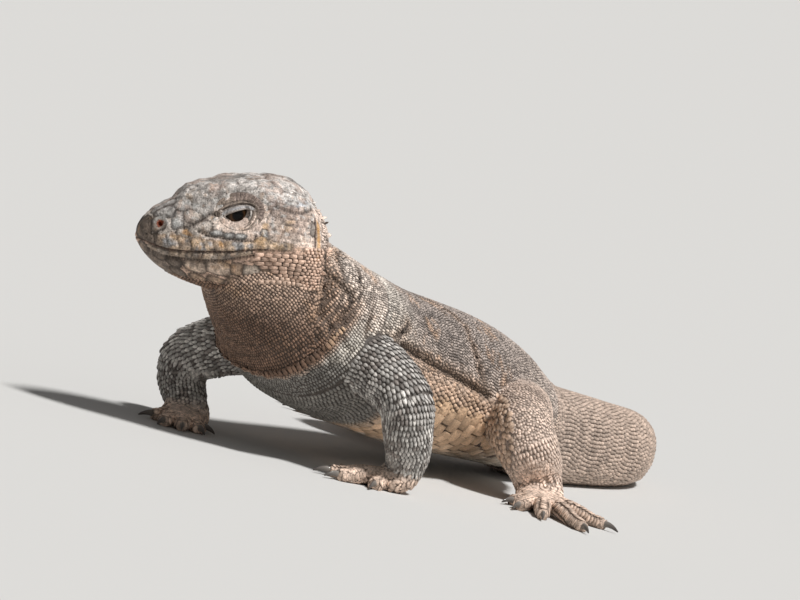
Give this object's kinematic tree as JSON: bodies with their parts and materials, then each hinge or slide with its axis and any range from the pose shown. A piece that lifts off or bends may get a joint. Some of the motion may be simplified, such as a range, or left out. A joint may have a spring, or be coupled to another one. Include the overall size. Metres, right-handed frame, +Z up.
{
  "type": "giant lizard",
  "caption": "Life-size model of a Gran Canaria giant lizard propped up on its forelegs, head turned to its right, long tail curled round behind the hind legs.",
  "frame": {"origin": "middle of the underside of the model's box, on the floor", "axes": "+X along the trunk towards the head end, +Y the animal's left, +Z up from the floor"},
  "size_m": [0.4414, 0.233, 0.0842],
  "materials": {
    "head_skin": "worn grey-tan horn shields with a fine dark speckle",
    "body_skin": "fine grey-brown granular scales, golden-tan plates below",
    "limb_skin": "grey-green lapped scales",
    "tail_skin": "pinkish-tan scales in rings",
    "eye": "wet, near black",
    "claw": "grey horn with dark tips"
  },
  "bodies": {
    "root": {"head": "head_skin", "neck": "body_skin", "torso": "body_skin", "tail_1": "tail_skin", "tail_2": "tail_skin", "tail_3": "tail_skin", "tail_4": "tail_skin", "upper_arm_left": "limb_skin", "forearm_left": "limb_skin", "hand_left": "limb_skin", "thigh_left": "limb_skin", "shank_left": "limb_skin", "foot_left": "limb_skin", "eye_left": "eye", "claw_hand_left_1": "claw", "claw_hand_left_2": "claw", "claw_hand_left_3": "claw", "claw_hand_left_4": "claw", "claw_hand_left_5": "claw", "claw_foot_left_1": "claw", "claw_foot_left_2": "claw", "claw_foot_left_3": "claw", "claw_foot_left_4": "claw", "claw_foot_left_5": "claw", "upper_arm_right": "limb_skin", "forearm_right": "limb_skin", "hand_right": "limb_skin", "thigh_right": "limb_skin", "shank_right": "limb_skin", "foot_right": "limb_skin", "eye_right": "eye", "claw_hand_right_1": "claw", "claw_hand_right_2": "claw", "claw_hand_right_3": "claw", "claw_hand_right_4": "claw", "claw_hand_right_5": "claw", "claw_foot_right_1": "claw", "claw_foot_right_2": "claw", "claw_foot_right_3": "claw", "claw_foot_right_4": "claw", "claw_foot_right_5": "claw"}
  },
  "joints": []
}
